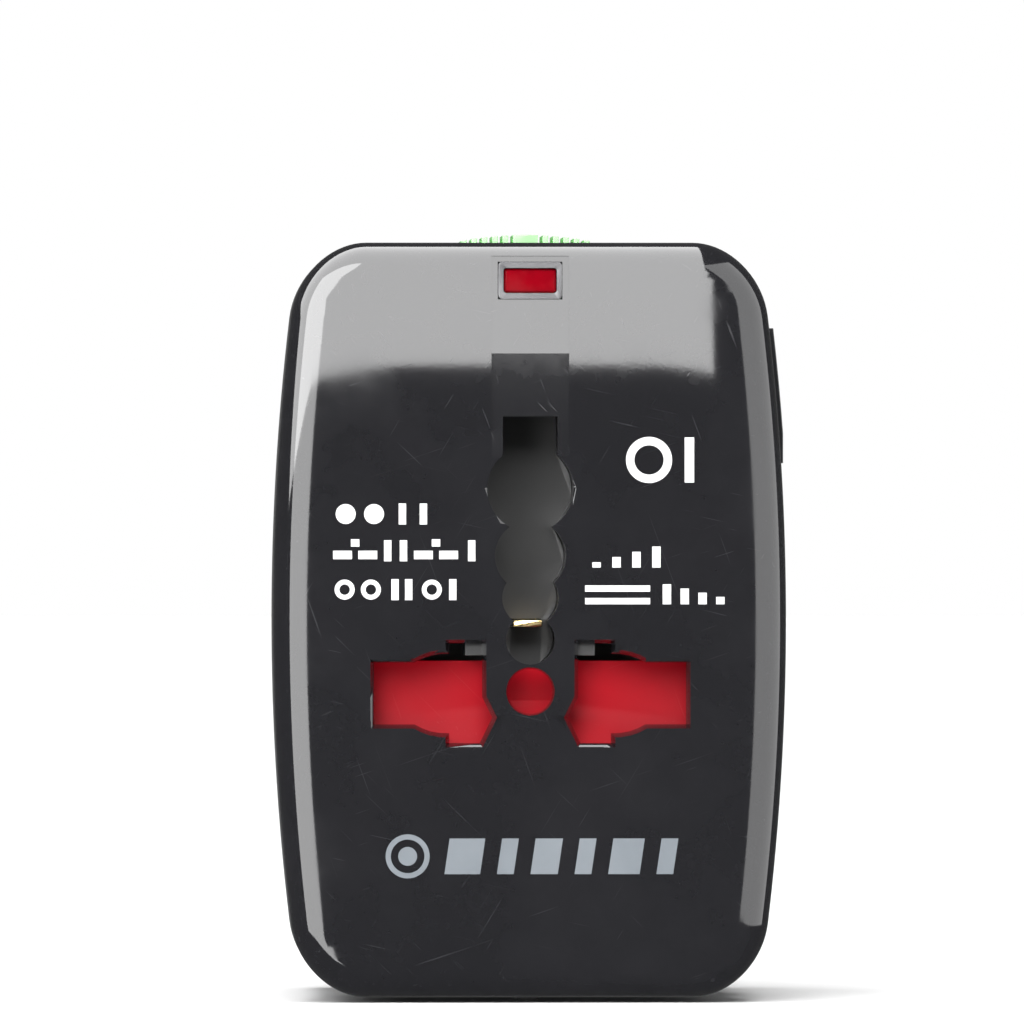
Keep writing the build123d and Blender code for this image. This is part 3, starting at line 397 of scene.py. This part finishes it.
def white_marks():
    """Rows of plain pin shapes at the left, plain bars at the right, and a ring with a bar."""
    shapes = []
    rings = [(11.3, 51.75, 2.2, 1.4)]
    shapes.append(box_outline(14.7, 15.6, 49.6, 53.9))
    for x in (-17.6, -14.9):
        rings.append((x, 46.6, 0.95, 0.0))
    for x in (-12.2, -10.2):
        shapes.append(box_outline(x - 0.35, x + 0.35, 45.6, 47.6))
    for x in (-17.9, -15.5, -10.2, -7.8):
        shapes.append(box_outline(x - 0.9, x + 0.9, 42.3, 43.1))
    for x in (-16.7, -9.0):
        shapes.append(box_outline(x - 0.4, x + 0.4, 43.5, 44.2))
    for x in (-13.6, -12.1, -5.6):
        shapes.append(box_outline(x - 0.35, x + 0.35, 42.1, 44.1))
    for x in (-17.7, -15.2, -9.4):
        rings.append((x, 39.4, 0.95, 0.5))
    for x in (-12.9, -11.6, -7.4):
        shapes.append(box_outline(x - 0.35, x + 0.35, 38.4, 40.4))
    for x in range(4):
        shapes.append(box_outline(5.9 + 1.9 * x, 6.7 + 1.9 * x, 41.5, 42.0 + 0.5 * x))
        shapes.append(box_outline(12.6 + 1.7 * x, 13.4 + 1.7 * x, 38.0, 39.9 - 0.4 * x))
    shapes.append(box_outline(5.2, 11.4, 38.0, 38.6))
    shapes.append(box_outline(5.2, 11.4, 39.2, 39.8))
    return printed("white_marks", shapes, rings)


def grey_marks():
    """A plain disc in a ring and a row of slanted bars low on the face."""
    widths = (3.4, 1.6, 2.6, 1.6, 3.0, 1.6)
    shapes = []
    x = -8.2
    for width in widths:
        shapes.append(box_outline(x, x + width, 12.3, 15.7, 0.5))
        x += width + 1.6
    return printed("grey_marks", shapes, [(-11.7, 14.0, 2.1, 1.6), (-11.7, 14.0, 0.9, 0.0)])


# ------------------------------------------------------------ shader groups
def new_group(name, inputs, outputs):
    """An empty shader group with float inputs and colour or float outputs."""
    group = bpy.data.node_groups.new(name, "ShaderNodeTree")
    for label, value in inputs:
        kind = "NodeSocketColor" if isinstance(value, tuple) else "NodeSocketFloat"
        socket = group.interface.new_socket(label, in_out="INPUT", socket_type=kind)
        socket.default_value = value
    for label, kind in outputs:
        group.interface.new_socket(label, in_out="OUTPUT", socket_type=kind)
    return group, group.nodes.new("NodeGroupInput"), group.nodes.new("NodeGroupOutput")


def add(tree, kind, inputs=None, **values):
    """Adds a node, sets it up and links or sets its inputs."""
    node = tree.nodes.new(kind)
    for key, value in values.items():
        setattr(node, key, value)
    for key, value in (inputs or {}).items():
        if isinstance(value, bpy.types.NodeSocket):
            tree.links.new(value, node.inputs[key])
        else:
            node.inputs[key].default_value = value
    return node


def math(tree, operation, a, b=0.0, clamp=False):
    """One math node's output."""
    return add(tree, "ShaderNodeMath", {0: a, 1: b}, operation=operation, use_clamp=clamp).outputs[0]


def stretch(tree, value, low, high):
    """Maps a value from low..high to 0..1, held at the ends."""
    inputs = {"Value": value, "From Min": low, "From Max": high}
    return add(tree, "ShaderNodeMapRange", inputs, clamp=True).outputs["Result"]


def object_place(tree, turn=(0.0, 0.0, 0.0), scale=(1.0, 1.0, 1.0)):
    """The piece's own coordinates, turned and stretched."""
    place = add(tree, "ShaderNodeTexCoord").outputs["Object"]
    turned = add(tree, "ShaderNodeMapping", {"Vector": place, "Rotation": turn})
    return add(tree, "ShaderNodeMapping", {"Vector": turned.outputs[0], "Scale": scale}).outputs[0]


def noise(tree, place, scale, detail=2.0, roughness=0.5):
    """One noise texture's value."""
    inputs = {"Vector": place, "Scale": scale, "Detail": detail, "Roughness": roughness}
    return add(tree, "ShaderNodeTexNoise", inputs).outputs["Fac"]


def hairline_group():
    """Fine scratches in five directions, gathered in patches."""
    group, given, result = new_group(
        "hairline_scratches", [("Scale", 900.0), ("Density", 0.5)],
        [("Mask", "NodeSocketFloat")])
    total = 0.0
    for i, turn in enumerate((0.35, 0.8, 1.35, 1.9, 2.6)):
        place = object_place(group, (0.0, turn, 0.0), (1.0, 1.0, 0.014))
        line = noise(group, place, 4200.0 + 500.0 * i, 1.0)
        patch = noise(group, object_place(group, (0.0, turn, i * 1.3)), 120.0 + 30.0 * i, 1.0)
        edge = math(group, "SUBTRACT", 0.80, math(group, "MULTIPLY", given.outputs["Density"], 0.12))
        cut = stretch(group, line, edge, math(group, "ADD", edge, 0.03))
        cut = math(group, "MULTIPLY", cut, stretch(group, patch, 0.46, 0.62))
        total = math(group, "MAXIMUM", total, cut)
    group.links.new(total, result.inputs["Mask"])
    return group


def dust_group():
    """Small specks of dust and broad smudges."""
    group, given, result = new_group(
        "dust_and_smudges", [("Speck Size", 0.25), ("Amount", 0.5)],
        [("Specks", "NodeSocketFloat"), ("Smudge", "NodeSocketFloat")])
    place = object_place(group)
    inputs = {"Vector": place, "Scale": 800.0, "Randomness": 1.0}
    cell = add(group, "ShaderNodeTexVoronoi", inputs)
    near = stretch(group, cell.outputs["Distance"], given.outputs["Speck Size"], 0.02)
    chosen = stretch(group, cell.outputs["Color"], math(group, "SUBTRACT", 0.98, math(
        group, "MULTIPLY", given.outputs["Amount"], 0.2)), 1.0)
    group.links.new(math(group, "MULTIPLY", near, chosen), result.inputs["Specks"])
    smudge = stretch(group, noise(group, place, 90.0, 5.0, 0.62), 0.45, 0.72)
    group.links.new(smudge, result.inputs["Smudge"])
    return group


def tone_group():
    """Slow and fine variation of a colour, with a lighter tone for wear."""
    group, given, result = new_group(
        "tone_variation", [("Color", (0.5, 0.5, 0.5, 1.0)), ("Worn", (0.8, 0.8, 0.8, 1.0)),
                           ("Amount", 0.2), ("Wear", 0.0)],
        [("Color", "NodeSocketColor"), ("Value", "NodeSocketFloat")])
    place = object_place(group)
    slow = noise(group, place, 60.0, 3.0)
    fine = noise(group, place, 1400.0, 2.0)
    value = math(group, "ADD", math(group, "MULTIPLY", slow, 0.7), math(group, "MULTIPLY", fine, 0.3))
    shift = math(group, "MULTIPLY", math(group, "SUBTRACT", value, 0.5), given.outputs["Amount"])
    bright = math(group, "ADD", shift, 1.0)
    inputs = {0: given.outputs["Color"], "Scale": bright}
    toned = add(group, "ShaderNodeVectorMath", inputs, operation="SCALE")
    mixed = add(group, "ShaderNodeMix", data_type="RGBA")
    group.links.new(given.outputs["Wear"], mixed.inputs[0])
    group.links.new(toned.outputs[0], mixed.inputs[6])
    group.links.new(given.outputs["Worn"], mixed.inputs[7])
    group.links.new(mixed.outputs[2], result.inputs["Color"])
    group.links.new(value, result.inputs["Value"])
    return group


def grain_group():
    """The fine texture that a mould leaves, as a height."""
    group, given, result = new_group(
        "moulded_grain", [("Scale", 3000.0), ("Orange Peel", 0.3)], [("Height", "NodeSocketFloat")])
    place = object_place(group)
    fine = noise(group, place, given.outputs["Scale"], 3.0)
    wide = noise(group, place, 260.0, 1.0)
    height = math(group, "ADD", fine, math(group, "MULTIPLY", wide, given.outputs["Orange Peel"]))
    group.links.new(height, result.inputs["Height"])
    return group


HAIRLINES = hairline_group()
DUST = dust_group()
TONE = tone_group()
GRAIN = grain_group()


def use(tree, group, **values):
    """Places a shared group in a material."""
    node = tree.nodes.new("ShaderNodeGroup")
    node.node_tree = group
    for key, value in values.items():
        node.inputs[key.replace("_", " ").title()].default_value = value
    return node


# ------------------------------------------------------------ materials
def finish(name, color, worn, rough, amount=0.2, scratch=0.0, dust=0.0, grain=3000.0, bump=0.0,
           metal=0.0, coat=0.0, painted_glow=0.0, specular=0.5, peel=0.3):
    """A material with tone variation, scratches, dust, smudges and grain at the given strengths, and
    where asked a painted glow: an emission in its own colour that stands in for light inside the part.
    """
    material = bpy.data.materials.new(name)
    material.use_nodes = True
    tree = material.node_tree
    shader = tree.nodes["Principled BSDF"]
    lines = use(tree, HAIRLINES, Density=0.5)
    specks = use(tree, DUST, Speck_Size=0.25, Amount=0.5)
    wear = math(tree, "MULTIPLY", lines.outputs["Mask"], scratch)
    wear = math(tree, "MAXIMUM", wear, math(tree, "MULTIPLY", specks.outputs["Specks"], dust))
    wear = math(tree, "MAXIMUM", wear, math(tree, "MULTIPLY", specks.outputs["Smudge"], dust * 0.12))
    tone = use(tree, TONE, Color=(*color, 1.0), Worn=(*worn, 1.0), Amount=amount)
    tree.links.new(wear, tone.inputs["Wear"])
    tree.links.new(tone.outputs["Color"], shader.inputs["Base Color"])
    smudge = math(tree, "MULTIPLY", specks.outputs["Smudge"], 0.25 * rough + 0.02)
    uneven = math(tree, "MULTIPLY", tone.outputs["Value"], 0.3 * rough)
    total = math(tree, "ADD", math(tree, "ADD", 0.85 * rough, uneven), smudge)
    total = math(tree, "ADD", total, math(tree, "MULTIPLY", wear, 0.3), clamp=True)
    tree.links.new(total, shader.inputs["Roughness"])
    texture = use(tree, GRAIN, Scale=grain, Orange_Peel=peel)
    height = math(tree, "SUBTRACT", texture.outputs["Height"], math(tree, "MULTIPLY", wear, 0.6))
    relief = add(tree, "ShaderNodeBump", {"Height": height, "Strength": bump, "Distance": 0.00002})
    tree.links.new(relief.outputs["Normal"], shader.inputs["Normal"])
    shader.inputs["Metallic"].default_value = metal
    shader.inputs["Coat Weight"].default_value = coat
    shader.inputs["Coat Roughness"].default_value = 0.03
    shader.inputs["Specular IOR Level"].default_value = specular
    # Painted glow: the base colour is also given off as light, a painted inner brightness on a part
    # that is no lamp.
    if painted_glow:
        tree.links.new(tone.outputs["Color"], shader.inputs["Emission Color"])
        shader.inputs["Emission Strength"].default_value = painted_glow
    return material


BLACK_WORN = (0.10, 0.10, 0.11)
MATERIALS = {
    "case_black": finish("gloss_black_cover", (0.013, 0.013, 0.015), BLACK_WORN, 0.045,
                         scratch=0.22, dust=0.3, bump=0.02, peel=1.0),
    "housing_black": finish("gloss_black_housing", (0.014, 0.014, 0.016), BLACK_WORN, 0.12,
                            scratch=0.35, dust=0.4, bump=0.04),
    "inner_black": finish("moulded_black", (0.012, 0.012, 0.012), (0.06, 0.06, 0.06), 0.3,
                          scratch=0.15, dust=0.2, bump=0.12),
    "shutter_red": finish("shutter_red", (0.42, 0.0, 0.008), (0.6, 0.1, 0.1), 0.4,
                          scratch=0.15, dust=0.15, bump=0.05, specular=0.05),
    "button_green": finish("pale_green", (0.34, 0.72, 0.30), (0.8, 0.95, 0.78), 0.45,
                           dust=0.2, bump=0.1),
    "bezel_grey": finish("satin_grey", (0.085, 0.085, 0.09), (0.4, 0.4, 0.4), 0.38,
                         amount=0.9, dust=0.8, bump=0.5, grain=6000.0),
    # The lens's faint emission is a painted glow: inner brightness put into the red lens, not a lit
    # lamp.
    "lens_red": finish("lens_red", (0.26, 0.0, 0.006), (0.7, 0.3, 0.3), 0.06,
                       amount=0.9, dust=0.5, bump=0.03, painted_glow=0.05, specular=0.25),
    "contact_brass": finish("contact_brass", (0.80, 0.62, 0.30), (0.9, 0.78, 0.5), 0.22,
                            scratch=0.5, dust=0.2, bump=0.1, metal=1.0),
    "pin_metal": finish("nickel_plate", (0.72, 0.71, 0.68), (0.85, 0.85, 0.83), 0.16,
                        scratch=0.6, dust=0.2, bump=0.08, metal=1.0),
    "steel": finish("plain_steel", (0.56, 0.56, 0.57), (0.7, 0.7, 0.7), 0.26,
                    scratch=0.4, dust=0.2, bump=0.1, metal=1.0),
    "board_green": finish("board_green", (0.015, 0.13, 0.05), (0.3, 0.4, 0.3), 0.3,
                          dust=0.2, bump=0.1),
    "component_blue": finish("dipped_blue", (0.015, 0.09, 0.32), (0.3, 0.4, 0.6), 0.25,
                             dust=0.2, bump=0.1),
    "component_tan": finish("painted_tan", (0.5, 0.36, 0.2), (0.7, 0.6, 0.5), 0.4,
                            dust=0.2, bump=0.1),
    "lamp_glass": finish("lamp_glass", (0.7, 0.24, 0.15), (0.9, 0.6, 0.5), 0.1,
                         dust=0.2, bump=0.05, coat=1.0),
    "ceramic": finish("glazed_ceramic", (0.8, 0.79, 0.75), (0.6, 0.58, 0.5), 0.2,
                      dust=0.3, bump=0.05),
    "print_white": finish("white_print", (0.85, 0.85, 0.85), (0.7, 0.7, 0.7), 0.4,
                          dust=0.2, bump=0.1),
    "print_grey": finish("grey_print", (0.12, 0.14, 0.16), (0.3, 0.32, 0.35), 0.4,
                         dust=0.3, bump=0.1),
}


def dress_nodes():
    """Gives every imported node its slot's material and smooth, softened edges."""
    for row in frame["record"]["subparts"]:
        piece = nodes[row["node"]]
        piece.data.materials.clear()
        piece.data.materials.append(MATERIALS[row["material_slot"]])
        piece.data.polygons.foreach_set("use_smooth", [True] * len(piece.data.polygons))
        add_modifier(piece, "WELD", merge_threshold=0.000002)
        add_modifier(piece, "BEVEL", width=0.08 * MM, segments=2, limit_method="ANGLE",
                     angle_limit=radians(38))
        add_modifier(piece, "WEIGHTED_NORMAL", keep_sharp=True, weight=80)


# ------------------------------------------------------------ floor, light and camera
VIEW_WIDTH = 97.52 * MM
VIEW_TURN = -1.45
VIEW_X = -1.76 * MM
VIEW_Z = BOTTOM_Z + 46.29 * MM


def floor():
    """A plain pale floor."""
    bpy.ops.object.select_all(action="DESELECT")
    bpy.ops.mesh.primitive_plane_add(size=12.0, location=(0, 0, 0))
    piece = bpy.context.object
    edit(piece, "FACE")
    bpy.ops.object.mode_set(mode="EDIT")
    bpy.ops.mesh.select_all(action="SELECT")
    bpy.ops.mesh.subdivide(number_cuts=3)
    done()
    settle(piece, "studio_floor")
    paper = finish("studio_paper", (0.86, 0.86, 0.86), (0.84, 0.84, 0.84), 0.8, amount=0.02)
    piece.data.materials.append(paper)
    piece.visible_glossy = False


def card(name, centre, aim, size, radiance):
    """A softbox of even brightness that faces a point."""
    lamp = bpy.data.lights.new(name, "AREA")
    lamp.shape = "RECTANGLE"
    lamp.size, lamp.size_y = size
    lamp.energy = radiance * pi * size[0] * size[1]
    piece = bpy.data.objects.new(name, lamp)
    bpy.context.scene.collection.objects.link(piece)
    piece.location = centre
    piece.rotation_euler = (Vector(centre) - Vector(aim)).to_track_quat("Z", "Y").to_euler()
    piece.visible_diffuse = False
    return piece


def sun(name, rise, turn, strength, softness):
    """A broad soft light from a height and a side, kept out of the reflections."""
    lamp = bpy.data.lights.new(name, "SUN")
    lamp.energy = strength
    lamp.angle = radians(softness)
    piece = bpy.data.objects.new(name, lamp)
    bpy.context.scene.collection.objects.link(piece)
    piece.rotation_euler = (pi / 2 - radians(rise), 0, radians(turn))
    piece.visible_glossy = False
    return piece


def lights():
    """A large card from the front to overhead, a card at the left and a dimmer one at the right."""
    front = Vector((0, -0.90, 0.172))
    back = Vector((0, 0.38, 0.95))
    length = (back - front).length
    right_x = 0.14
    left_x = -2.4
    top = card("top_card", (0, 0, 0), (0, 0, 1), (right_x - left_x, length), 10.0)
    middle = (front + back) / 2
    top.location = ((right_x + left_x) / 2, middle.y, middle.z)
    rise = atan2(back.z - front.z, back.y - front.y)
    top.rotation_euler = Euler((rise, 0, 0))
    card("left_card", (-0.50, -0.78, 0.30), (0, 0, 0.22), (0.80, 1.10), 8.0)
    card("right_card", (0.37, -0.44, 0.32), (-0.60, -0.20, 0.32), (1.1, 0.8), 3.5)
    sun("front_sun", 28.0, -12.0, 2.4, 35.0)
    sun("top_sun", 80.0, 0.0, 2.9, 50.0)
    world = bpy.data.worlds.new("studio_surround")
    world.use_nodes = True
    tree = world.node_tree
    background = tree.nodes["Background"]
    background.inputs["Color"].default_value = (1, 1, 1, 1)
    sight = add(tree, "ShaderNodeLightPath").outputs["Is Camera Ray"]
    strength = add(tree, "ShaderNodeMapRange", {"Value": sight, "To Min": 0.12, "To Max": 1.0})
    tree.links.new(strength.outputs["Result"], background.inputs["Strength"])
    bpy.context.scene.world = world


def camera():
    """A long lens, level, turned slightly to the left of the face."""
    lens = bpy.data.cameras.new("camera")
    lens.lens = 600.0
    lens.sensor_width = 36.0
    view_width = VIEW_WIDTH
    distance = view_width * lens.lens / lens.sensor_width
    lens.clip_end = 20.0
    piece = bpy.data.objects.new("camera", lens)
    bpy.context.scene.collection.objects.link(piece)
    turn = radians(VIEW_TURN)
    target = Vector((VIEW_X, FACE_Y, VIEW_Z))
    piece.location = target + distance * Vector((sin(turn), -cos(turn), 0))
    piece.rotation_euler = (pi / 2, 0, turn)
    bpy.context.scene.camera = piece
    bpy.context.scene.view_settings.view_transform = "Standard"


# ------------------------------------------------------------ build
dress_nodes()
cover = front_cover()
cover.data.materials.append(MATERIALS["case_black"])
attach(cover, "case")
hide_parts("front_cover")
for piece, kind in ((white_marks(), "print_white"), (grey_marks(), "print_grey")):
    piece.data.materials.append(MATERIALS[kind])
    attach(piece, "case")
floor()
lights()
camera()
